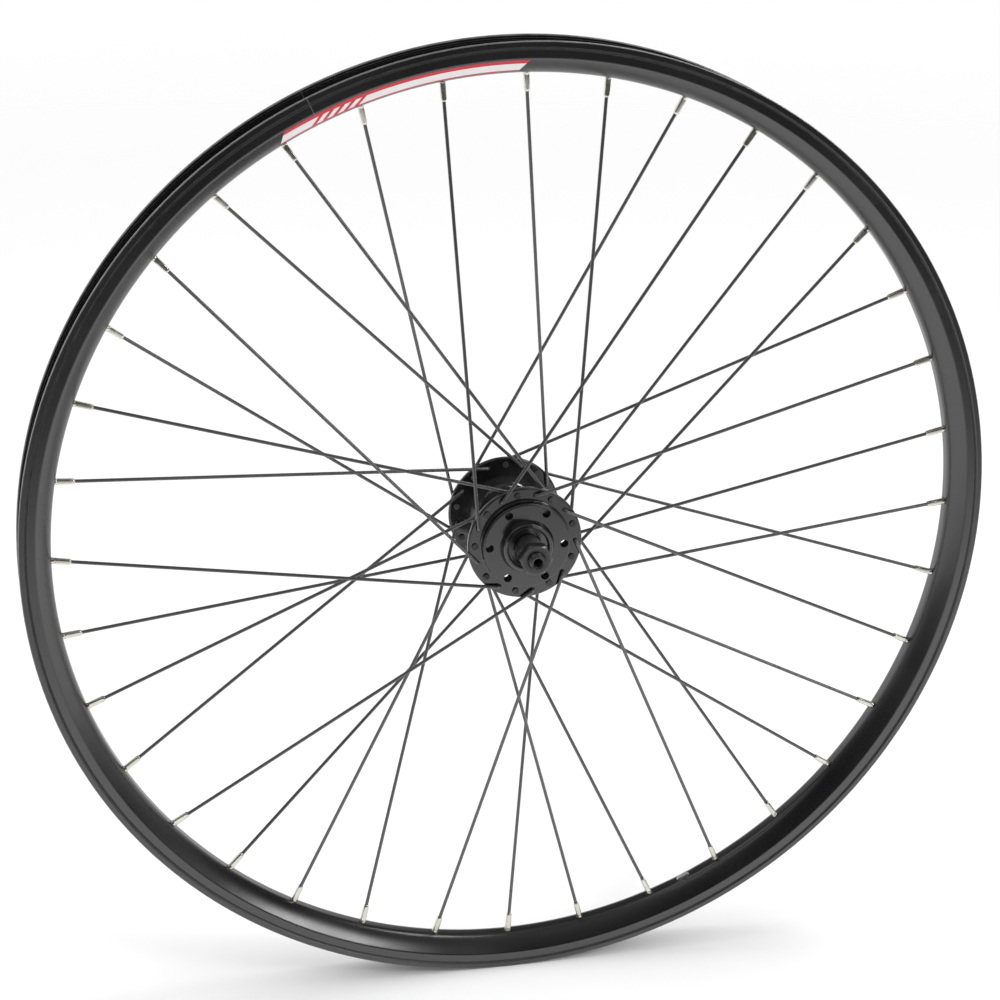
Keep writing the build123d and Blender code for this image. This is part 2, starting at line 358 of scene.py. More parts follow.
class Groups:
    """Shader node groups that the finishes share, each built once."""

    @staticmethod
    def start(name: str, inputs: dict[str, float], outputs: Sequence[str]) -> tuple[Graph, Sockets, bpy.types.Node]:
        """Make an empty group with float sockets.

        Args:
            name: Name of the group.
            inputs: Input names and default values.
            outputs: Output names.

        Returns:
            The group's graph, the sockets that bring its inputs and the node that takes its outputs.
        """
        tree = bpy.data.node_groups.new(name, "ShaderNodeTree")
        for label, value in inputs.items():
            tree.interface.new_socket(label, in_out="INPUT", socket_type="NodeSocketFloat").default_value = value
        for label in outputs:
            tree.interface.new_socket(label, in_out="OUTPUT", socket_type="NodeSocketFloat")
        return Graph(tree), tree.nodes.new("NodeGroupInput").outputs, tree.nodes.new("NodeGroupOutput")

    @staticmethod
    @cache
    def grain() -> Tree:
        """Fine grain of a blasted and dyed metal: fine noise for the height, broad noise for shade and gloss."""
        graph, given, made = Groups.start("metal_grain", {"Fine": 900.0, "Broad": 14.0}, ("Height", "Shade"))
        graph.fill(made, {"Height": graph.noise(given["Fine"], 3.0), "Shade": graph.noise(given["Broad"], 5.0)})
        return graph.tree

    @staticmethod
    @cache
    def wear_and_painted_light() -> Tree:
        """Masks from the edge attribute, broken up by noise: worn outer corners, which on the rim's lip are partly a
        painted highlight, and grimy inner corners, with painted shade on the spoke heads.
        """
        inputs = {"Rub": 0.5, "Dirt": 0.5, "Breakup": 160.0}
        graph, given, made = Groups.start("edge_wear_and_painted_light", inputs, ("Rubbed", "DirtyAndShaded"))
        edge, noise = graph.attribute("edge"), graph.noise(given["Breakup"], 4.0)
        for label, amount, sign in (("Rubbed", "Rub", 1.0), ("DirtyAndShaded", "Dirt", -1.0)):
            own = graph.math("MAXIMUM", graph.math("MULTIPLY", edge, sign), 0.0)
            broken = graph.math("MULTIPLY", own, noise)
            graph.fill(made, {label: graph.math("MULTIPLY", broken, given[amount], clamp=True)})
        return graph.tree

    @staticmethod
    @cache
    def seam() -> Tree:
        """Fine line across a hoop: 1 where the angle about the axle, the arc tangent of X over Z, is near a place."""
        graph, given, made = Groups.start("hoop_seam", {"Place": 0.0, "Half": 0.0007}, ("Line",))
        axes = graph.axes()
        angle = graph.math("ARCTAN2", axes["X"], axes["Z"])
        graph.fill(made, {"Line": graph.math("COMPARE", angle, given["Place"], given["Half"])})
        return graph.tree


@dataclass(frozen=True)
class Metal:
    """Finish of a metal piece: a dyed, plated or bare surface with grain, worn edges and grimy corners; its edge masks
    also paint a highlight on the rim's lip and shade on the spoke heads.
    """

    name: str
    dark: Triple
    light: Triple
    rubbed: Triple
    gloss: tuple[float, float]
    metallic: float = 0.0
    ior: float = 1.5
    fine: float = 900.0
    broad: float = 14.0
    shade_range: tuple[float, float] = (0.3, 0.7)
    bump: float = 0.04
    bump_height: float = 0.0002
    rub: float = 0.6
    dirt: float = 0.6
    soil_and_shade: Triple = (0.004, 0.004, 0.004)
    soil_gloss: float = 0.75
    seam: float | None = None
    seam_half: float = 0.04
    seam_colour: Triple = (0.11, 0.11, 0.115)

    @cache
    def material(self) -> bpy.types.Material:
        """Build the finish once.

        Returns:
            The material, whose colour runs from dark to light with the broad grain, turns to the worn colour on outer
            corners (partly a painted highlight on the rim's lip), turns to the grime colour and matt in inner ones
            (painted shade on the spoke heads), and whose roughness runs between the two gloss values.
        """
        material, graph = Graph.material(f"{self.name}_look")
        grain = graph.group(Groups.grain(), Fine=self.fine, Broad=self.broad)
        wear_and_painted_light = graph.group(Groups.wear_and_painted_light(), Rub=self.rub, Dirt=self.dirt)
        # Worn colour on outer corners; on the rim's lip it is partly a painted highlight.
        worn = graph.tint(wear_and_painted_light["Rubbed"], graph.tint(grain["Shade"], self.dark, self.light), self.rubbed)
        # Grime colour in inner corners; on the spoke heads it is painted shade.
        colour = graph.tint(wear_and_painted_light["DirtyAndShaded"], worn, self.soil_and_shade)
        if self.seam is not None:
            spot, half = np.radians([self.seam - 360.0, self.seam_half])
            joint = graph.group(Groups.seam(), Place=spot, Half=half)
            colour = graph.tint(joint["Line"], colour, self.seam_colour)
        gloss = graph.ramp(grain["Shade"], self.shade_range, self.gloss, "LINEAR")
        bump = {"Strength": self.bump, "Distance": self.bump_height, "Height": grain["Height"]}
        graph.fill("Principled BSDF", {
            "Base Color": colour, "Metallic": self.metallic, "IOR": self.ior,
            "Roughness": graph.mix(wear_and_painted_light["DirtyAndShaded"], gloss, self.soil_gloss),
            "Normal": graph.node("Bump", bump).outputs["Normal"],
        })
        return material


# Rim: its pale worn colour on the lips is partly worn metal and partly a painted highlight line.
RIM_BLACK = Metal("rim_black", (0.004, 0.004, 0.005), (0.008, 0.008, 0.009), (0.60, 0.60, 0.61), (0.20, 0.30),
                  ior=1.86, bump=0.015, rub=0.35, dirt=2.0, soil_and_shade=(0.035, 0.035, 0.036), seam=334.6)
# The spokes' grime colour, forced onto their heads, is painted shade there.
SPOKE_BLACK = Metal("spoke_black", (0.030, 0.030, 0.031), (0.055, 0.055, 0.056), (0.08, 0.08, 0.08), (0.22, 0.34),
                    ior=1.9)
NIPPLE_SILVER = Metal("nipple_silver", (0.56, 0.54, 0.47), (0.88, 0.86, 0.79), (0.90, 0.88, 0.83), (0.20, 0.32),
                      metallic=1.0, broad=150.0, bump=0.02)
HUB_BLACK = Metal("hub_black", (0.004, 0.004, 0.004), (0.008, 0.008, 0.008), (0.10, 0.10, 0.10), (0.09, 0.17),
                  ior=1.86, broad=40.0, rub=0.25)
CAP_BLACK = Metal("dust_cap_black", (0.006, 0.006, 0.006), (0.010, 0.010, 0.010), (0.05, 0.05, 0.05), (0.10, 0.20),
                  ior=1.9, broad=60.0)
NUT_BLACK = Metal("locknut_black", (0.008, 0.008, 0.008), (0.018, 0.018, 0.018), (0.10, 0.10, 0.10), (0.18, 0.30),
                  ior=1.6, broad=80.0)
AXLE_BLACK = Metal("axle_black", (0.010, 0.010, 0.010), (0.020, 0.020, 0.020), (0.10, 0.10, 0.10), (0.20, 0.32),
                   ior=1.6, broad=80.0)
STEEL = Metal("bearing_steel", (0.30, 0.30, 0.31), (0.42, 0.42, 0.43), (0.6, 0.6, 0.6), (0.26, 0.40), metallic=1.0,
              broad=80.0)


def dress(piece: bpy.types.Object, finish: "Metal | Print", body: Body, nodes: Sequence[str]) -> None:
    """Give a piece its finish and its body, and let it stand for its CAD nodes.

    Args:
        piece: The new object.
        finish: Its finish, named like the record's material slot.
        body: Body that it rides on.
        nodes: CAD nodes that it replaces.
    """
    piece.data.materials.append(finish.material())
    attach(piece, body.value)
    if nodes:
        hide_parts(*nodes)
    LOG.info("%s: %d faces, rides on %s", piece.name, len(piece.data.polygons), body.value)


@dataclass
class Rim:
    """Box-section rim: an outer skin, a tyre channel and the chamber between them, joined by round holes."""

    radius: float = 285.9
    half_width: float = 12.7
    bed_radius: float = 267.4
    bed_flat: float = 1.9
    belly_bend: float = 0.7
    crease_radius: float = 276.4
    crease_ease: float = 2.2
    groove_radius: float = 281.9
    groove_half: float = 0.95
    groove_depth: float = 0.9
    groove_dust: float = -1.0
    lip_half: float = 10.2
    lip_ease: tuple[float, float] = (0.45, 0.6)
    hook_depth: tuple[float, float] = (1.9, 2.9)
    hook_ease: float = 0.3
    seat_radius: float = 279.5
    seat_half: float = 10.8
    seat_ease: float = 0.7
    well_radius: float = 276.9
    well_half: float = 4.8
    well_ease: float = 0.8
    floor_radius: float = 269.2
    floor_half: float = 3.3
    floor_rise: float = 2.2
    bridge_radius: float = 275.6
    bridge_half: float = 9.7
    chamber_ease: float = 0.5
    hole_count: int = 36
    nipple_hole: float = 2.2
    nipple_window: float = 2.34
    nipple_span: float = 0.7
    inner_span: float = 0.4
    floor_window: tuple[float, float] = (1.1, 2.6)
    access_hole: float = 3.2
    access_window: float = 4.4
    access_span: float = 0.95
    valve_hole: float = 4.25
    valve_window: float = 6.2
    valve_span: float = 2.2
    valve_angle: float = 155.0
    bare: float = 8.0
    bare_start: float = 0.15
    ease_steps: int = 3
    wall_rows: int = 8
    between_columns: int = 5
    valve_columns: int = 11

    def columns(self) -> Array:
        """Angles of the sheets' columns: close together at the holes, and even between them."""
        pitch = 360 / self.hole_count
        near = np.array([self.inner_span, self.nipple_span, self.access_span])
        between = np.linspace(self.access_span, pitch - self.access_span, self.between_columns + 2)[1:-1]
        offsets = np.concatenate([-near[::-1], [0], near, between])
        every = (np.arange(self.hole_count)[:, None] * pitch + offsets) % 360
        valve = self.valve_angle + np.linspace(-self.valve_span, self.valve_span, self.valve_columns)
        return np.radians(np.unique(np.round(np.concatenate([every.ravel(), valve]), 6)))

    def belly(self, along: Array) -> Array:
        """Radius of the rounded lower wall: a hyperbola that leaves the bed level and leans over to the crease."""
        share = np.maximum(np.abs(along) - self.bed_flat, 0) / (self.half_width - self.bed_flat)
        bend = self.belly_bend
        rise = (np.hypot(share, bend) - bend) / (np.hypot(1, bend) - bend)
        return self.bed_radius + (self.crease_radius - self.bed_radius) * rise

    def outer_half(self) -> Section:
        """Half of the outer skin, from the middle of the bed to the middle of the lip.

        Returns:
            The section, with a worn lip that is partly a painted highlight line, and a dusty groove.
        """
        wall = self.half_width
        low, high = self.groove_radius - self.groove_half, self.groove_radius + self.groove_half
        spread = np.concatenate([[self.bed_flat], np.linspace(self.nipple_window, self.valve_window, self.wall_rows),
                                 np.linspace(self.valve_window, wall, self.wall_rows)[1:-1]])
        belly = np.stack([self.belly(spread), spread, 0 * spread], -1).tolist()
        line = rounded([
            (self.bed_radius, 0, 0), *belly, (self.crease_radius, wall, self.crease_ease), (low, wall, 0),
            (self.groove_radius, wall - self.groove_depth, 0), (high, wall, 0),
            (self.radius, wall, self.lip_ease[0]), (self.radius, (wall + self.lip_half) / 2, 0),
        ], self.ease_steps)
        # Only the lip's corners keep their marks: the pale line there is partly worn metal and partly a painted
        # highlight.
        edge = line.edge * (line.rows[:, 0] > self.radius - 1)
        edge[line.row_at(0, self.groove_radius)] = self.groove_dust
        return Section(line.rows, edge)

    @staticmethod
    def level(radius: float, *spots: float) -> list[Triple]:
        """Corners of a level run, from its middle out to each spot."""
        return [(radius, spot, 0.0) for spot in (0.0, *spots)]

    def channel_half(self) -> Section:
        """Half of the tyre channel, from the middle of the well to the middle of the lip."""
        top, bottom = self.hook_depth
        return rounded([
            *self.level(self.well_radius, self.access_window / 2, self.access_window),
            (self.well_radius, self.well_half, self.well_ease), (self.seat_radius, self.seat_half, self.seat_ease),
            (self.radius - bottom, self.seat_half, self.hook_ease), (self.radius - top, self.lip_half, self.hook_ease),
            # The lip's corner carries the same pale mark: partly worn metal, partly a painted highlight.
            (self.radius, self.lip_half, self.lip_ease[1]), (self.radius, (self.half_width + self.lip_half) / 2, 0),
        ], self.ease_steps, hand=-1)

    def chamber_halves(self) -> tuple[Section, Section]:
        """Halves of the chamber's floor and ceiling, from their middles to where they meet on its side."""
        meet = (self.floor_radius + self.bridge_radius) / 2, (self.floor_half + self.bridge_half) / 2, 0
        floor = rounded([
            *self.level(self.floor_radius, *self.floor_window), (self.floor_radius, self.floor_half, self.chamber_ease),
            (self.floor_radius + self.floor_rise, self.floor_half + self.floor_rise, 0), meet,
        ], self.ease_steps)
        bridge = rounded([
            *self.level(self.bridge_radius, self.access_window / 2, self.access_window),
            (self.bridge_radius, self.bridge_half, self.chamber_ease), meet,
        ], self.ease_steps)
        return floor, bridge

    def pierce(self, skin: Skin, half: Section, columns: Array, holes: Sequence[tuple[float, ...]],
               inside: float = -np.inf) -> list[Array]:
        """Add a hoop with round holes to the skin.

        In the hoop's chart the first coordinate is the arc from the hole's middle and the second is the place
        along the axle. A chart point is lifted to the section's radius at that place.

        Args:
            skin: Mesh that the hoop is added to.
            half: Half of the hoop's section.
            columns: Angles of the columns.
            holes: Angle, window's half angle, window's half width and radius of each hole.
            inside: Lowest edge value, which is the bare metal's on the chamber's walls.

        Returns:
            The circle of points of each hole.
        """
        section = half.mirrored()
        keep = np.ones((len(section.rows) - 1, len(columns)), bool)
        level, loops = half.rows[0, 0], []
        for angle, half_angle, half_width, radius in holes:
            centre = np.radians(angle)
            turn = (columns - centre + np.pi) % (2 * np.pi) - np.pi
            left, right = (int(np.abs(turn + sign * np.radians(half_angle)).argmin()) for sign in (1, -1))
            right += len(columns) * (right < left)
            top, bottom = section.row_at(1, -half_width), section.row_at(1, half_width)
            window = Window((top, bottom), (left, right), np.zeros(2), radius)
            window.clear(keep)
            rows, across = window.border(len(columns))
            patch = window.patch(np.stack([turn[across] * level, section.rows[rows, 1]], -1))
            span = section.rows[top:bottom + 1]
            height = np.interp(patch[..., 1], span[:, 1], span[:, 0])
            points = place(height, patch[..., 1], centre + patch[..., 0] / level)
            skin.add(points, edge=np.maximum(hole_edge(float(radius != self.valve_hole)), inside))
            loops.append(points[0])
        skin.add(section.spin(columns), edge=np.maximum(section.edge[:, None], inside), keep=keep)
        return loops

    def build(self) -> None:
        """Build the rim's mesh, with bare metal in the chamber and the valve hole, and dress it."""
        skin, columns = Skin(), self.columns()
        floor_half, bridge_half = self.chamber_halves()

        def holes(span: float, window: float, radius: float, valve_window: float) -> list[tuple[float, ...]]:
            """One hole for each spoke and the valve's hole after them."""
            angles = np.arange(self.hole_count) * 360 / self.hole_count
            valve = self.valve_angle, self.valve_span, valve_window, self.valve_hole
            return [(angle, span, window, radius) for angle in angles] + [valve]

        bed = holes(self.nipple_span, self.nipple_window, self.nipple_hole, self.valve_window)
        floor = holes(self.nipple_span, self.floor_window[1], self.nipple_hole, self.floor_half + self.floor_rise)
        top = holes(self.access_span, self.access_window, self.access_hole, self.access_window)
        outer = self.pierce(skin, self.outer_half(), columns, bed)
        inner = self.pierce(skin, floor_half, columns, floor, self.bare)
        well = self.pierce(skin, self.channel_half(), columns, top)
        under = self.pierce(skin, bridge_half, columns, top, self.bare)
        for index, (first, second) in enumerate(zip(outer + well, inner + under)):
            bare = self.bare if index % (self.hole_count + 1) == self.hole_count else 0.0
            start = first + (second - first) * self.bare_start
            skin.add(np.stack([first, start, second]), edge=np.array([[0.0], [bare], [bare]]))
        dress(skin.piece("rim_hoop"), RIM_BLACK, Body.WHEEL, ["rim"])


@dataclass(frozen=True)
class Print:
    """Finish of the printed band: red borders round a white field with one group of slanted bars."""

    name: str = "rim_black"
    white: tuple[Triple, Triple] = ((0.72, 0.68, 0.68), (0.80, 0.77, 0.77))
    red: Triple = (0.52, 0.026, 0.04)
    roughness: float = 0.38
    broad: float = 90.0
    border: tuple[float, float] = (0.10, 0.70)
    bars: tuple[float, float] = (0.12, 0.34)
    bar_count: float = 22.0
    bar_share: float = 0.45
    slant: float = 0.03

    def material(self) -> bpy.types.Material:
        """Build the print from the band's own attributes: around runs along it and across runs over it."""
        material, graph = Graph.material("printed_band")
        along, across = graph.attribute("around"), graph.attribute("across")
        low = graph.math("LESS_THAN", across, self.border[0])
        high = graph.math("GREATER_THAN", across, self.border[1])
        shifted = graph.math("SUBTRACT", along, graph.math("MULTIPLY", across, self.slant))
        saw = graph.math("FRACT", graph.math("MULTIPLY", shifted, self.bar_count))
        bar = graph.math("LESS_THAN", saw, self.bar_share)
        after = graph.math("GREATER_THAN", shifted, self.bars[0])
        before = graph.math("LESS_THAN", shifted, self.bars[1])
        bars = graph.math("MULTIPLY", graph.math("MULTIPLY", bar, after), before)
        inked = graph.math("MAXIMUM", graph.math("MAXIMUM", low, high), bars)
        pale = graph.tint(graph.group(Groups.grain(), Broad=self.broad)["Shade"], *self.white)
        colour = graph.tint(inked, pale, self.red)
        graph.fill("Principled BSDF", {"Base Color": colour, "Roughness": self.roughness})
        return material


@dataclass
class RimBand:
    """Thin printed band on the near slanted wall of the rim."""

    start: float = 330.2
    stop: float = 359.3
    low_radius: float = 268.9
    high_radius: float = 275.7
    lean: float = 1.1
    thickness: float = 0.05
    rows: int = 13
    columns: int = 121
    samples: int = 400
    rim: Rim = field(default_factory=Rim)

    def build(self) -> None:
        """Build the band: a strip on the wall's cone that leans at its ends, closed by a second layer under it."""
        across, along_band = np.linspace(0, 1, self.rows), np.linspace(0, 1, self.columns)
        radius = self.low_radius + across * (self.high_radius - self.low_radius)
        spread = np.linspace(0, self.rim.half_width, self.samples)
        along = -np.interp(radius, self.rim.belly(spread), spread)
        angle = np.radians(self.start + along_band * (self.stop - self.start) + (across[:, None] - 0.5) * self.lean)
        normal = unit(np.stack([np.gradient(along), -np.gradient(radius)], -1)) * self.thickness
        outer = place((radius + normal[:, 0])[:, None], (along + normal[:, 1])[:, None], angle)
        inner = place(radius[:, None], along[:, None], angle)
        inner[:, [0, -1]] = outer[:, [0, -1]]
        skin = Skin()
        skin.add(np.concatenate([outer, inner[::-1]]), wrap=(True, False))
        piece = skin.piece("rim_band")
        spots = np.empty(len(piece.data.vertices) * 3, np.float32)
        piece.data.vertices.foreach_get("co", spots)
        spots = spots.reshape(-1, 3) / MM
        level = (np.hypot(spots[:, 0], spots[:, 2]) - self.low_radius) / (self.high_radius - self.low_radius)
        turn = np.degrees(np.arctan2(spots[:, 0], spots[:, 2])) % 360
        length = (turn - (level - 0.5) * self.lean - self.start) / (self.stop - self.start)
        for label, values in (("across", level), ("around", length)):
            piece.data.attributes.new(label, "FLOAT", "POINT").data.foreach_set("value", values.astype(np.float32))
        dress(piece, Print(), Body.WHEEL, [])


@dataclass
class Lacing:
    """Spokes and nipples, laced three-cross: each spoke runs from its flange hole to its rim hole."""

    count: int = 36
    lead_angle: float = 60.0
    pivot_radius: float = 268.3
    circle_radius: float = 29.6
    flange_radius: float = 33.7
    half_flange: float = 1.6
    left_flange: float = 21.0
    right_flange: float = 32.0
    wire: float = 1.0
    clearance: float = 0.12
    elbow_radius: float = 1.6
    elbow_steps: int = 8
    head_radius: float = 1.9
    head_height: float = 1.2
    head_dome: tuple[tuple[float, float], ...] = ((1.0, 0.0), (1.0, 0.55), (0.97, 0.8), (0.85, 0.95), (0.62, 1.0))
    # Edge value of the head's rows: painted shade that darkens and dulls the spoke heads in the flange holes.
    head_shade: float = -3.0
    shaded_rows: int = 4
    run_stations: tuple[float, ...] = (0.02, 0.5, 1.0, 1.0)
    seat: float = 0.05
    bed_wall: float = 1.8
    nipple_length: float = 12.0
    nipple_thread: float = 9.0
    nipple_half: float = 1.65
    nipple_collar: float = 1.95
    nipple_head: float = 2.6
    nipple_head_height: float = 2.2
    nipple_play: float = 0.03
    wire_sides: int = 16
    nipple_sides: int = 32

    def __post_init__(self) -> None:
        """Work out every spoke's line at once, as arrays with one row for each spoke."""
        index = np.arange(self.count)
        self.side = np.where(index % 2 == 0, 1, -1)
        lead = np.where(index % 4 < 2, 1, -1)
        self.elbow_side = -self.side * lead
        self.rim_angle = around(self.count)
        self.hub_angle = self.rim_angle + lead * np.radians(self.lead_angle)
        offset = np.where(self.side > 0, self.right_flange, self.left_flange)
        self.flange = self.side * offset
        self.pivot = place(self.pivot_radius, 0.0, self.rim_angle)
        reach = self.pivot - place(self.circle_radius, 0.0, self.hub_angle)
        length = np.linalg.norm(reach, axis=-1)
        inner = (radial(self.hub_angle) * unit(reach)).sum(-1) * self.circle_radius
        run = np.sqrt(self.flange_radius ** 2 - self.circle_radius ** 2 + inner ** 2) - inner
        rest = self.half_flange + self.wire + self.clearance
        extra = offset / (length - run) * (run + self.half_flange + self.wire)
        lift = rest + np.where(self.elbow_side == self.side, extra, 0)
        self.elbow = place(self.circle_radius, self.flange + self.elbow_side * lift, self.hub_angle)
        self.direction = unit(self.elbow - self.pivot)
        self.across = unit(np.cross(ALONG, self.direction))

    def spoke_sheets(self) -> Array:
        """Tubes of all the spokes.

        The path goes from the head along the axle through the flange, round an arc to the straight run, and on
        into the nipple. It stays in one plane, so each ring is spanned by that plane's normal and the normal
        crossed with the path's way. The ring's radius grows to the head's at its start.

        Returns:
            Points by spoke, path station, side of the tube and coordinate.
        """
        leg, run = ALONG * self.elbow_side[:, None], -self.direction
        seat = place(self.circle_radius, self.flange, self.hub_angle) - leg * (self.half_flange + self.seat)
        tip = self.pivot + self.direction * (self.nipple_length - self.nipple_thread + self.seat)
        half = np.arccos((-leg * run).sum(-1, keepdims=True)) / 2
        back = self.elbow_radius / np.tan(half)
        start, stop = self.elbow - leg * back, self.elbow + run * back
        centre = self.elbow + unit(run - leg) * self.elbow_radius / np.sin(half)
        sweep = np.pi - 2 * half
        arc = centre[:, None] + swing(start - centre, stop - centre, sweep, self.elbow_steps)
        bend = swing(leg, run, sweep, self.elbow_steps)
        head = np.array([*self.head_dome, (0.0, self.wire / self.head_radius)])
        stem = seat[:, None] - leg[:, None] * (head[:, :1] * self.head_height)
        straight = stop[:, None] + (tip - stop)[:, None] * np.array(self.run_stations)[None, :, None]
        path = np.concatenate([stem, arc, straight], 1)
        way = np.concatenate([np.repeat(leg[:, None], len(head), 1), bend,
                              np.repeat(run[:, None], len(self.run_stations), 1)], 1)
        girth = np.full(path.shape[1], self.wire)
        girth[:len(head)], girth[-1] = head[:, 1] * self.head_radius, 0.0
        normal = unit(np.cross(leg, run))[:, None]
        turn = around(self.wire_sides)
        first, second = normal[:, :, None], np.cross(way, np.broadcast_to(normal, way.shape))[:, :, None]
        ring = first * np.cos(turn)[:, None] + second * np.sin(turn)[:, None]
        return path[:, :, None] + ring * girth[None, :, None, None]

    def nipple_sheets(self) -> Array:
        """Nipples in line with their spokes.

        Each station along a nipple is a superellipse: its half width divided by the power mean of cosine and sine.
        Power 2 is a circle, for the head and the collar in the rim, and power 5 is a square with round corners,
        for the wrench flats. The last stations fold back into the bore.

        Returns:
            Points by nipple, station, side and coordinate.
        """
        tilt = np.arccos(-(self.direction * radial(self.rim_angle)).sum(-1))
        lift = self.bed_wall / 2 + self.nipple_head * np.sqrt(2) * np.sin(tilt) + self.seat
        end, bore, flat, collar = self.nipple_length, self.wire + self.nipple_play, self.nipple_half, self.nipple_collar
        head, top, thread = self.nipple_head, self.nipple_head_height, self.nipple_length - self.nipple_thread
        lower = np.array([
            (-top, 0, 2), (-top, 0.55 * head, 2), (-0.93 * top, 0.8 * head, 2), (-0.75 * top, 0.96 * head, 2),
            (-0.5 * top, head, 2), (-0.25 * top, head, 2), (-0.05, 0.93 * head, 2), (0.0, collar, 2),
        ])
        upper = np.array([
            (0.9, collar, 2), (1.5, collar, 2), (1.7, 0.97 * collar, 2), (2.2, flat, 4), (2.5, flat, 5),
            (end - 1.5, 0.92 * flat, 5), (end - 0.8, 0.89 * flat, 4), (end - 0.3, 0.81 * flat, 3),
            (end, 0.70 * flat, 3), (end, bore + 0.1, 2), (end - 0.25, bore, 2), (thread, bore, 2), (thread, 0, 2),
        ])
        shape = np.concatenate([lower, upper])
        station = np.repeat(shape[None, :, 0], self.count, 0)
        station[:, :len(lower)] -= lift[:, None]
        turn = around(self.nipple_sides) + np.pi / self.nipple_sides
        power = shape[:, 2:]
        girth = shape[:, 1:2] / (np.abs(np.cos(turn)) ** power + np.abs(np.sin(turn)) ** power) ** (1 / power)
        second = np.cross(self.direction, self.across)
        ring = self.across[:, None] * np.cos(turn)[:, None] + second[:, None] * np.sin(turn)[:, None]
        axis = self.pivot[:, None] + self.direction[:, None] * station[..., None]
        return axis[:, :, None] + ring[:, None] * girth[None, ..., None]

    def build(self) -> None:
        """Build each spoke as its own piece, with painted shade darkening its head, and all the nipples as one."""
        tubes = self.spoke_sheets()
        # Painted shade on each spoke's head: its first rows take the grime colour and matt gloss.
        soil_and_shade = np.zeros((tubes.shape[1], 1))
        soil_and_shade[:self.shaded_rows] = self.head_shade
        for side in Side:
            for number, index in enumerate(np.flatnonzero(self.side == side.value), start=1):
                skin = Skin()
                skin.add(tubes[index], edge=soil_and_shade)
                name = f"spoke_{side.word}_{number:02d}"
                dress(skin.piece(f"{name}_wire"), SPOKE_BLACK, Body.WHEEL, [name])
        skin = Skin()
        for sheet in self.nipple_sheets():
            skin.add(sheet)
        dress(skin.piece("nipple_set", 30.0), NIPPLE_SILVER, Body.WHEEL, ["nipples"])


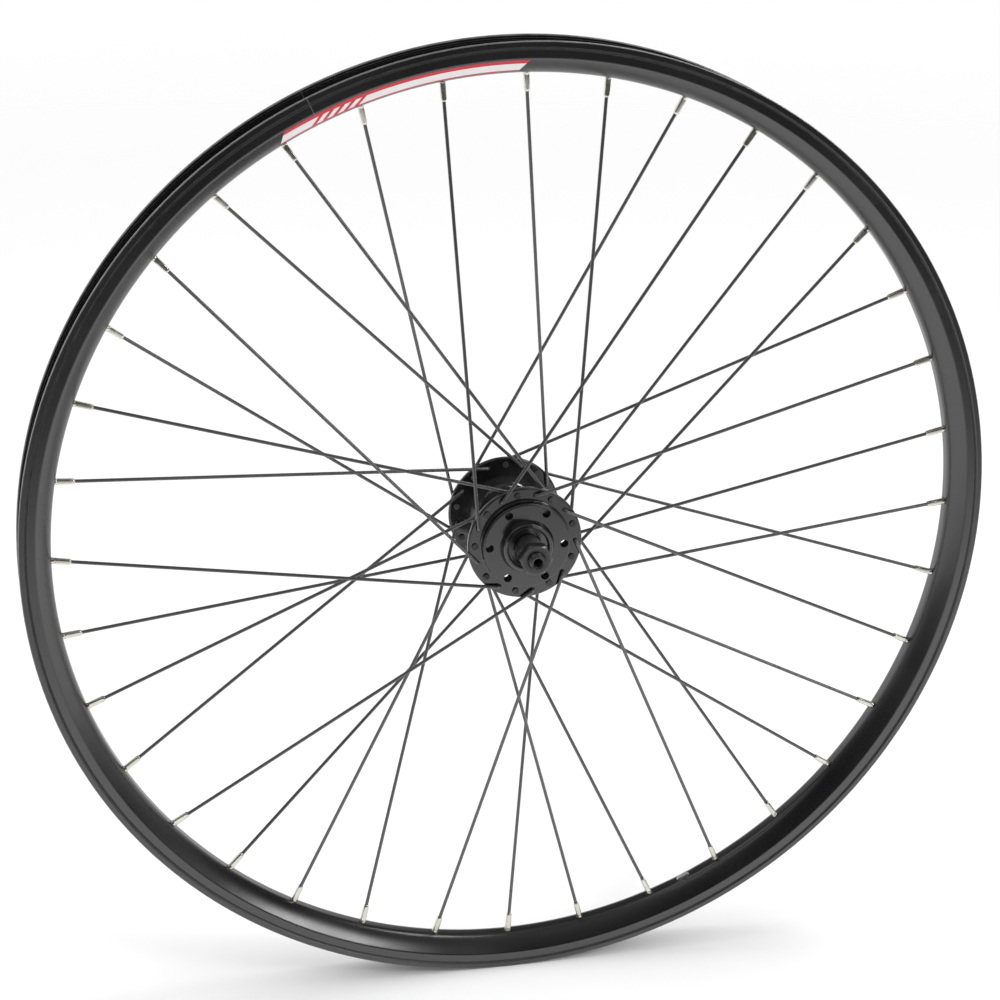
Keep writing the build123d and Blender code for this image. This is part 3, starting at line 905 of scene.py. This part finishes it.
@dataclass
class Hub:
    """Hub shell, bearings, dust caps, cones, locknuts and axle, all about the Y axis."""

    flange_radius: float = 33.7
    flange_flat: tuple[float, float] = (26.8, 32.4)
    flange_ease: float = 0.9
    half_flange: float = 1.6
    left_flange: float = -21.0
    right_flange: float = 32.0
    barrel: float = 15.5
    barrel_ease: tuple[float, float] = (2.6, 6.0)
    boss: float = 25.8
    boss_flat: tuple[float, float] = (18.5, 24.6)
    boss_ease: tuple[float, float] = (0.95, 0.7)
    disc_face: float = -27.5
    shell_end: float = 33.6
    seat: float = 13.02
    seat_floor: tuple[float, float] = (-22.0, 28.1)
    seat_ease: float = 0.2
    through: float = 8.54
    bore_ease: float = 0.3
    spoke_count: int = 18
    spoke_circle: float = 29.6
    spoke_hole: float = 1.25
    spoke_window: float = 2.7
    bolt_count: int = 6
    bolt_circle: float = 22.0
    bolt_hole: float = 2.4
    bolt_window: float = 2.6
    bolt_pitch: float = 0.8
    bolt_thread: float = 0.25
    window_stretch: float = 1.25
    ball_count: int = 10
    ball_circle: float = 8.0
    ball_radius: float = 2.38
    ball_inset: float = 2.6
    ball_grid: tuple[int, int] = (13, 24)
    race: float = 3.44
    cup_radius: float = 13.0
    cup_back: float = 12.0
    cup_depth: tuple[float, float] = (-2.9, 0.6)
    cup_ease: tuple[float, float] = (0.2, 0.1)
    cap_line: tuple[Triple, ...] = ((12.0, 0.0, 0.0), (16.0, 0.0, 0.3), (14.4, 3.8, 0.6), (12.4, 3.8, 0.5),
                                    (11.6, 1.6, 0.5), (8.3, 1.2, 0.15), (8.3, 0.0, 0.1), (12.0, 0.0, 0.0))
    thread_bore: float = 4.78
    cone_nose: float = 5.38
    cone_body: float = 7.85
    cone_flat: float = 7.0
    cone_ease: tuple[float, float] = (0.1, 0.3)
    flat_length: float = 3.95
    flat_step: float = 0.05
    locknut_face: float = 50.0
    locknut_back: float = 44.0
    locknut_half: float = 8.5
    locknut_turn: float = 35.0
    locknut_depths: tuple[float, ...] = (0, 0, 0.05, 0.2, 0.4, 0.6, 0.8, 1.0, 3.0, 5.6, 5.8, 6.0, 6.0)
    chamfer: tuple[float, float] = (8.1625, 1.75)
    locknut_front: tuple[float, ...] = (5.3, 8.2)
    locknut_rear: tuple[float, ...] = (12.0, 9.5, 9.1, 5.3)
    bore_inset: float = 0.5
    axle_end: float = 54.0
    axle_middle: float = 4.72
    axle_tail: float = 4.5
    axle_tip: float = 4.1
    tip_length: float = 0.5
    shoulder: float = 0.1
    thread_rows: int = 36
    axle_thread: float = 0.28
    axle_bore: float = 2.6
    bore_mouth: float = 2.85
    mouth_depth: float = 0.3
    columns: int = 216
    ring_columns: int = 96
    rod_columns: int = 64

    def face(self, side: Side) -> float:
        """Place along the axle of a side's end of the shell."""
        return self.disc_face if side is Side.LEFT else self.shell_end

    def ball_plane(self, side: Side) -> float:
        """Place along the axle of a side's balls."""
        return self.face(side) - side.value * self.ball_inset

    def pierced_disc(self, skin: Skin, inner: float, outer: float, along: float,
                     holes: Sequence[tuple[float, float, float, float]]) -> list[Array]:
        """Add a flat ring with round holes to the skin; its chart is the plane itself.

        Args:
            skin: Mesh that the ring is added to.
            inner: Inner radius of the ring.
            outer: Outer radius of the ring.
            along: Place of the ring along the axle.
            holes: Angle, circle radius, window's half height and radius of each hole.

        Returns:
            The circle of points of each hole.
        """
        levels = {round(circle + share * half, 6) for _, circle, half, _ in holes for share in (-1, -0.5, 0, 0.5, 1)}
        radii = np.array(sorted(levels | {inner, outer}))
        flat = Section(np.stack([radii, np.full_like(radii, along)], -1), np.zeros_like(radii))
        sheet = flat.spin(around(self.columns))
        keep = np.ones((len(radii) - 1, self.columns), bool)
        step, loops = 2 * np.pi / self.columns, []
        for angle, circle, half, radius in holes:
            middle = int(round(np.radians(angle) / step))
            reach = int(round(half * self.window_stretch / circle / step))
            centre = radial(np.radians(np.array(angle)))[[0, 2]] * circle
            window = Window((flat.row_at(0, circle - half), flat.row_at(0, circle + half)),
                            (middle - reach, middle + reach), centre, radius)
            window.clear(keep)
            patch = window.patch(sheet[window.border(self.columns)][:, [0, 2]])
            points = np.stack([patch[..., 0], np.full(patch.shape[:2], along), patch[..., 1]], -1)
            skin.add(points, edge=hole_edge(1.0))
            loops.append(points[0])
        skin.add(sheet, keep=keep)
        return loops

    def shell(self) -> None:
        """Build the shell: turned runs with eased corners between flat rings that carry the holes."""
        skin = Skin()
        end, disc, edge, seat = self.shell_end, self.disc_face, self.flange_radius, self.seat
        left_out, left_in = self.left_flange - self.half_flange, self.left_flange + self.half_flange
        right_in = self.right_flange - self.half_flange
        (root, rim), (bore, crown) = self.flange_flat, self.boss_flat
        step, bolt_step = 360 // self.spoke_count, 360 // self.bolt_count
        spoke = self.spoke_circle, self.spoke_window, self.spoke_hole
        left_holes = [(step // 2 + step * k, *spoke) for k in range(self.spoke_count)]
        right_holes = [(step * k, *spoke) for k in range(self.spoke_count)]
        bolts = [(bolt_step // 2 + bolt_step * k, self.bolt_circle, self.bolt_window, self.bolt_hole)
                 for k in range(self.bolt_count)]
        boss_face = self.pierced_disc(skin, bore, crown, disc, bolts)
        left_face = self.pierced_disc(skin, root, rim, left_out, left_holes)
        left_back = self.pierced_disc(skin, bore, rim, left_in, left_holes + bolts)
        right_face = self.pierced_disc(skin, root, rim, end, right_holes)
        right_back = self.pierced_disc(skin, root, rim, right_in, right_holes)
        ease, lip = self.flange_ease, self.bore_ease
        left_floor, right_floor = self.seat_floor
        runs = [
            rounded([(crown, disc, 0), (self.boss, disc, self.boss_ease[0]), (self.boss, left_out, self.boss_ease[1]),
                     (root, left_out, 0)]),
            rounded([(rim, left_out, 0), (edge, left_out, ease), (edge, left_in, ease), (rim, left_in, 0)]),
            rounded([(bore, left_in, 0), (self.barrel, left_in, self.barrel_ease[0]),
                     (self.barrel, right_in, self.barrel_ease[1]), (root, right_in, 0)], steps=8),
            rounded([(rim, right_in, 0), (edge, right_in, ease), (edge, end, ease), (rim, end, 0)]),
            rounded([(root, end, 0), (seat, end, lip), (seat, right_floor, self.seat_ease),
                     (self.through, right_floor, lip), (self.through, left_floor, lip),
                     (seat, left_floor, self.seat_ease), (seat, disc, lip), (bore, disc, 0)]),
        ]
        for run in runs:
            skin.add(run.spin(around(self.columns)), edge=run.edge[:, None])
        count = self.spoke_count
        for first, second in zip(left_face + right_face, left_back[:count] + right_back):
            skin.add(np.stack([first, second]))
        turns = int((left_in - disc) / self.bolt_pitch)
        share = np.linspace(0, 1, 2 * turns + 1)[:, None, None]
        grow = (np.arange(2 * turns + 1) % 2 * self.bolt_thread)[:, None, None]
        for first, second in zip(boss_face, left_back[count:]):
            skin.add(first + share * (second - first) + grow * unit(first - first.mean(0)), edge=-1.0)
        dress(skin.piece("hub_body"), HUB_BLACK, Body.WHEEL, ["hub_shell"])

    def ring(self, name: str, corners: Sequence[Triple], finish: Metal, node: str) -> None:
        """Build a closed turned ring that rides on the wheel.

        Args:
            name: Name of the piece.
            corners: (radius, along, fillet) once round its section, the first one repeated at the end.
            finish: Its finish.
            node: CAD node that it replaces.
        """
        skin, section = Skin(), rounded(corners)
        skin.add(section.spin(around(self.ring_columns)), edge=section.edge[:, None])
        dress(skin.piece(name), finish, Body.WHEEL, [node])

    def end(self, side: Side) -> None:
        """Build one side's dust cap, cup, balls, cone and locknut."""
        way, word, plane = side.value, side.word, self.ball_plane(side)
        cap = [(radius, self.face(side) + way * height, ease) for radius, height, ease in self.cap_line]
        self.ring(f"dust_cap_{word}_ring", cap, CAP_BLACK, f"dust_cap_{word}")
        back, front = (plane + way * depth for depth in self.cup_depth)
        deep, shallow = (self.ball_circle + self.race + depth for depth in self.cup_depth)
        outer, inner = self.cup_ease
        self.ring(f"bearing_cup_{word}_race", [
            (self.cup_back, back, 0), (self.cup_radius, back, outer), (self.cup_radius, front, outer),
            (shallow, front, inner), (deep, back, inner), (self.cup_back, back, 0),
        ], STEEL, f"bearing_cup_{word}")
        self.balls(side)
        self.cone(side)
        self.locknut(side)

    def balls(self, side: Side) -> None:
        """Build one ring of balls: spheres by polar and turning angle, set round the axle."""
        polar, turn = np.linspace(0, np.pi, self.ball_grid[0])[:, None], around(self.ball_grid[1])[None, :]
        ball = self.ball_radius * np.stack([np.sin(polar) * np.cos(turn), np.sin(polar) * np.sin(turn),
                                            np.cos(polar) + 0 * turn], -1)
        skin = Skin()
        for middle in place(self.ball_circle, self.ball_plane(side), around(self.ball_count)):
            skin.add(ball + middle)
        dress(skin.piece(f"bearing_balls_{side.word}_ring"), STEEL, Body.BALL_RINGS, [f"bearing_balls_{side.word}"])

    def cone(self, side: Side) -> None:
        """Build a cone: a turned section whose radius is cut to two spanner flats beside the locknut."""
        way, back, bore = side.value, side.value * self.locknut_back, self.thread_bore
        nose, body, (fine, full) = self.cone_nose, self.cone_body, self.cone_ease
        nose_end, body_end = (self.ball_plane(side) + way * (radius - self.ball_circle + self.race)
                              for radius in (nose, body))
        before, after = (back - way * (self.flat_length + step) for step in (self.flat_step, -self.flat_step))
        middle = (nose_end + back) / 2
        section = rounded([
            (bore, middle, 0), (bore, nose_end, fine), (nose, nose_end, fine), (body, body_end, full),
            (body, before, 0), (body, after, 0), (body, back, full), (bore, back, fine), (bore, middle, 0),
        ], hand=way)
        turn = around(self.ring_columns)[None, :]
        radius, along = section.rows[:, :1], section.rows[:, 1:]
        flat = self.cone_flat / np.maximum(np.abs(np.sin(turn)), TINY)
        ground = (along * way > self.locknut_back - self.flat_length) & (radius > (bore + nose) / 2)
        skin = Skin()
        skin.add(place(np.where(ground, np.minimum(radius, flat), radius), along, turn), edge=section.edge[:, None])
        dress(skin.piece(f"cone_{side.word}_body", 30.0), STEEL, Body.AXLE_SET, [f"cone_{side.word}"])

    def locknut(self, side: Side) -> None:
        """Build a locknut: a hexagon's radius, never more than a chamfer cone's radius at that depth."""
        depth = np.array(self.locknut_depths)[:, None]
        limit = self.chamfer[0] + self.chamfer[1] * depth
        limit[:2, 0], limit[-4:, 0] = self.locknut_front, self.locknut_rear
        turn = around(self.ring_columns)
        sector = (turn + np.pi / 6) % (np.pi / 3) - np.pi / 6
        hexagon = self.locknut_half / np.cos(np.abs(sector) - np.pi / 6)[None, :]
        bore = np.full((1, self.ring_columns), self.thread_bore)
        radius = np.concatenate([bore, np.minimum(hexagon, limit), bore, bore])
        front, rear = [[self.locknut_face - self.bore_inset]], [[self.locknut_back + self.bore_inset]]
        along = side.value * np.concatenate([front, self.locknut_face - depth, rear, front])
        edge = np.zeros((len(radius), 1))
        edge[2:8] = 1.0  # from the face's rim down the chamfer
        skin = Skin()
        skin.add(place(radius, along, turn[None, :] + np.radians(self.locknut_turn)), edge=edge)
        dress(skin.piece(f"locknut_{side.word}_hex", 25.0), NUT_BLACK, Body.AXLE_SET, [f"locknut_{side.word}"])

    def axle(self) -> None:
        """Build the axle: a bored rod with a plain middle and chamfered ends with a fine thread."""
        turn, face, end = around(self.rod_columns), self.locknut_face, self.axle_end
        tail = np.linspace(face, end - self.tip_length, self.thread_rows)
        along = np.concatenate([[-end], -tail[::-1], [self.shoulder - face, face - self.shoulder], tail, [end]])
        depth = np.abs(along)
        ramp = np.abs((along[:, None] + turn[None, :] / (2 * np.pi)) % 1.0 - 0.5) * 2
        crest = np.where(depth > face - self.shoulder / 2, self.axle_tail, self.axle_middle)[:, None]
        threaded = (depth > face + self.shoulder) & (depth < end - self.tip_length / 2)
        cut = np.where(threaded, self.axle_thread, 0.0)[:, None]
        radius = crest - cut * ramp
        radius[[0, -1]] = self.axle_tip
        mouth = end - self.mouth_depth
        bore = np.array([[end, self.bore_mouth], [mouth, self.axle_bore], [-mouth, self.axle_bore],
                         [-end, self.bore_mouth], [-end, self.axle_tip]])
        radius = np.concatenate([radius, np.repeat(bore[:, 1:], self.rod_columns, 1)])
        edge = np.zeros((len(radius), 1))
        edge[[0, len(along) - 1]] = 1.0
        skin = Skin()
        skin.add(place(radius, np.concatenate([along, bore[:, 0]])[:, None], turn[None, :]), edge=edge)
        dress(skin.piece("axle_rod", 60.0), AXLE_BLACK, Body.AXLE_SET, ["axle"])

    def build(self) -> None:
        """Build the shell, both ends and the axle."""
        self.shell()
        for side in Side:
            self.end(side)
        self.axle()


@dataclass
class Studio:
    """Pale floor, soft light and the camera at the photograph's place."""

    camera_place: Triple = (-309.09, -1252.58, 498.06)
    right: Triple = (0.97402, -0.22578, 0.01777)
    down: Triple = (-0.06253, -0.34353, -0.93706)
    forward: Triple = (0.21767, 0.91160, -0.34872)
    lens: float = 85.24
    sensor: float = 36.0
    clip_end: float = 100.0
    floor: float = -286.0
    floor_radius: float = 5000.0
    floor_front: float = -1300.0
    floor_start: float = 200.0
    floor_rings: int = 12
    floor_columns: int = 96
    floor_colour: Triple = (0.95, 0.95, 0.952)
    floor_roughness: float = 0.9
    floor_shine: float = 0.1
    floor_fade: tuple[float, float] = (-1280.0, -420.0)
    floor_reach: tuple[float, float] = (3600.0, 1200.0)
    ambient: float = 0.92
    depth_range: tuple[float, float] = (-0.6, 0.35)
    front_level: float = 0.05
    height_range: tuple[float, float] = (0.1, 0.5)
    top_level: float = 0.06
    ceiling_range: tuple[float, float] = (0.6, 0.95)
    ceiling_level: float = 0.2
    lamps: tuple[tuple[str, Triple, float, float], ...] = (
        ("left_lamp", (-1500.0, 250.0, 2300.0), 2.4, 10.0),
        ("right_lamp", (1150.0, 150.0, 2100.0), 0.7, 10.0),
        ("front_lamp", (1430.0, -1500.0, 1030.0), 0.6, 11.0),
    )

    def camera(self) -> None:
        """Create the camera from its place and its three axes."""
        data = bpy.data.cameras.new("camera")
        data.lens, data.sensor_width, data.clip_end = self.lens, self.sensor, self.clip_end
        thing = bpy.data.objects.new("camera", data)
        axes = Matrix((self.right, -Vector(self.down), -Vector(self.forward))).transposed()
        thing.matrix_world = Matrix.Translation(Vector(self.camera_place) * MM) @ axes.to_4x4()
        bpy.context.scene.collection.objects.link(thing)
        bpy.context.scene.camera = thing

    def ground(self) -> None:
        """Lay a large round floor that fades into the backdrop all round, and soonest in front of the wheel."""
        turn = around(self.floor_columns)[None, :]
        reach = np.concatenate([[0.0], np.geomspace(self.floor_start, self.floor_radius, self.floor_rings)])[:, None]
        middle = self.floor_radius + self.floor_front
        spots = np.broadcast_arrays(reach * np.cos(turn), reach * np.sin(turn) + middle, self.floor)
        skin = Skin()
        skin.add(np.stack(spots, -1))
        thing = skin.piece("floor")
        material, graph = Graph.material("pale_floor")
        front = graph.ramp(graph.axes()["Y"], tuple(edge * MM for edge in self.floor_fade))
        away = graph.node("VectorMath", {0: graph.spot()}, operation="LENGTH").outputs["Value"]
        shown = graph.math("MULTIPLY", front, graph.ramp(away, tuple(edge * MM for edge in self.floor_reach)))
        paper = graph.fill("Principled BSDF", {
            "Base Color": (*self.floor_colour, 1), "Roughness": self.floor_roughness,
            "Specular IOR Level": self.floor_shine,
        }).outputs[0]
        clear = graph.node("BsdfTransparent").outputs[0]
        mix = graph.node("MixShader", {0: shown, 1: clear, 2: paper}).outputs[0]
        graph.fill("Material Output", {"Surface": mix})
        thing.data.materials.append(material)

    def room(self) -> None:
        """Surround the scene with an even pale world.

        The background is white to the camera. Reflections see it white low behind the wheel, dark above and in
        front of it, and grey overhead, as in a room round a white sweep.
        """
        world = bpy.data.worlds.new("studio")
        bpy.context.scene.world = world
        world.use_nodes = True
        graph = Graph(world.node_tree)
        axes = graph.axes("Generated")
        depth = graph.ramp(axes["Y"], self.depth_range, (self.front_level, 1.0))
        height = graph.ramp(axes["Z"], self.height_range, (1.0, self.top_level))
        ceiling = graph.ramp(axes["Z"], self.ceiling_range, (0.0, self.ceiling_level))
        seen = graph.math("ADD", graph.math("MULTIPLY", depth, height), ceiling)
        path = graph.node("LightPath").outputs
        mirror = graph.math("MAXIMUM", path["Is Glossy Ray"], path["Is Transmission Ray"])
        level = graph.mix(path["Is Camera Ray"], graph.mix(mirror, self.ambient, seen), 1.0)
        graph.fill("Background", {"Strength": level, "Color": (1.0, 1.0, 1.0, 1)})

    def lights(self) -> None:
        """Hang a large soft lamp at the upper left and smaller ones at the right and in front."""
        for label, spot_mm, size, power in self.lamps:
            data = bpy.data.lights.new(label, "AREA")
            data.shape, data.size, data.energy = "DISK", size, power
            lamp = bpy.data.objects.new(label, data)
            spot = Vector(spot_mm) * MM
            lamp.matrix_world = Matrix.Translation(spot) @ (-spot).to_track_quat("-Z", "Y").to_matrix().to_4x4()
            bpy.context.scene.collection.objects.link(lamp)

    def build(self) -> None:
        """Set up the camera, the floor, the light and the plain view transform."""
        bpy.context.scene.view_settings.view_transform = "Standard"
        self.camera()
        self.ground()
        self.room()
        self.lights()


def main() -> None:
    """Build the wheel's sub-assemblies in order, then the studio."""
    logging.basicConfig(level=logging.INFO, format="%(name)s: %(message)s")
    Rim().build()
    RimBand().build()
    Lacing().build()
    Hub().build()
    Studio().build()


if __name__ == "__main__":
    main()
